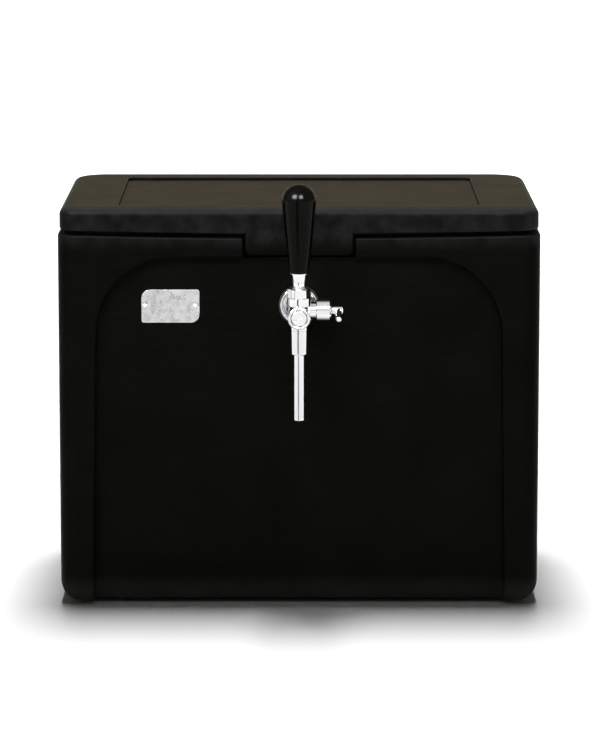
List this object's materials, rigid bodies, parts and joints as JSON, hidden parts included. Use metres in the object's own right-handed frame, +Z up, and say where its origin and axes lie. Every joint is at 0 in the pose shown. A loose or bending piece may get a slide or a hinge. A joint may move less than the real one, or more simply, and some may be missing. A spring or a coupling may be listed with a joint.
{
  "type": "jockey box beer cooler",
  "caption": "Portable insulated beer cooler with hinged lid, immersed cooling coil and a chromed lever tap with side flow compensator on an arched front panel.",
  "frame": {"origin": "middle of the underside of the bounding box, on the surface the feet stand on", "axes": "+X to the right as seen from in front of the tap, the tap and its handle face -Y, the hinges and hose fittings are on +Y, +Z up"},
  "size_m": [0.508, 0.4296, 0.4572],
  "materials": {
    "shell": "satin dark grey moulded skin with fine grain",
    "foam": "rigid polyurethane foam",
    "rubber": "matt black",
    "steel": "brushed stainless",
    "plate": "satin",
    "chrome": "polished",
    "seat": "white acetal",
    "handle": "polished black",
    "fitting": "grey-white moulded plastic"
  },
  "bodies": {
    "cabinet": {"body_moulding": "shell", "body_port_plugs": "shell", "body_foam": "foam", "rubber_feet": "rubber", "rim_gasket": "rubber", "rosette_gasket": "rubber", "inlet_gasket": "rubber", "drain_gasket": "rubber", "compensator_seal": "rubber", "foot_screws": "steel", "hinge_body_leaves": "steel", "hinge_pins": "steel", "hinge_body_screws": "steel", "name_plate": "plate", "plate_rivets": "plate", "tap_shank": "chrome", "rosette": "chrome", "shank_locknut": "chrome", "coil_outlet_nut": "steel", "tap_body": "chrome", "ball_seat": "seat", "bonnet_nut": "chrome", "front_cap": "chrome", "cap_screw": "chrome", "spout": "chrome", "compensator_nut": "chrome", "inlet_fitting": "steel", "inlet_locknut": "steel", "coil_inlet_nut": "steel", "drain_bush": "fitting", "drain_locknut": "fitting", "cooling_coil": "steel", "coil_combs": "fitting"},
    "lid": {"lid_moulding": "shell", "lid_foam": "foam", "lid_port_plug": "shell", "hinge_lid_leaves": "steel", "hinge_lid_screws": "steel"},
    "lever": {"tap_lever": "chrome", "handle_ferrule": "chrome", "tap_handle": "handle"},
    "slide": {"valve_slide": "seat", "slide_seal": "rubber"},
    "flow_spindle": {"compensator_spindle": "chrome", "compensator_lever": "chrome"},
    "flow_cone": {"compensator_cone": "seat"},
    "drain_closure": {"drain_cap": "fitting"}
  },
  "joints": [
    {"name": "lid_hinge", "type": "hinge", "parent": "cabinet", "child": "lid", "pos_m": [0, 0.1958, 0.3989], "axis": [-1, 0, 0], "range_deg": [0, 105]},
    {"name": "lever_tilt", "type": "hinge", "parent": "cabinet", "child": "lever", "pos_m": [0, -0.1928, 0.3445], "axis": [1, 0, 0], "range_deg": [-12, 18]},
    {"name": "slide_travel", "type": "slide", "parent": "cabinet", "child": "slide", "axis": [0, 1, 0], "range_m": [-0.0051, 0.0076]},
    {"name": "flow_turn", "type": "hinge", "parent": "cabinet", "child": "flow_spindle", "pos_m": [0.0413, -0.1558, 0.3203], "axis": [1, 0, 0], "range_deg": [-60, 60]},
    {"name": "cone_travel", "type": "slide", "parent": "cabinet", "child": "flow_cone", "axis": [0, 1, 0], "range_m": [-0.00192, 0.00192]},
    {"name": "drain_cap_off", "type": "slide", "parent": "cabinet", "child": "drain_closure", "axis": [0, 1, 0], "range_m": [0, 0.03]}
  ],
  "couplings": [
    {"joint": "slide_travel", "follows": "lever_tilt", "m_per_rad": 0.024},
    {"joint": "cone_travel", "follows": "flow_turn", "m_per_rad": 0.00182}
  ]
}
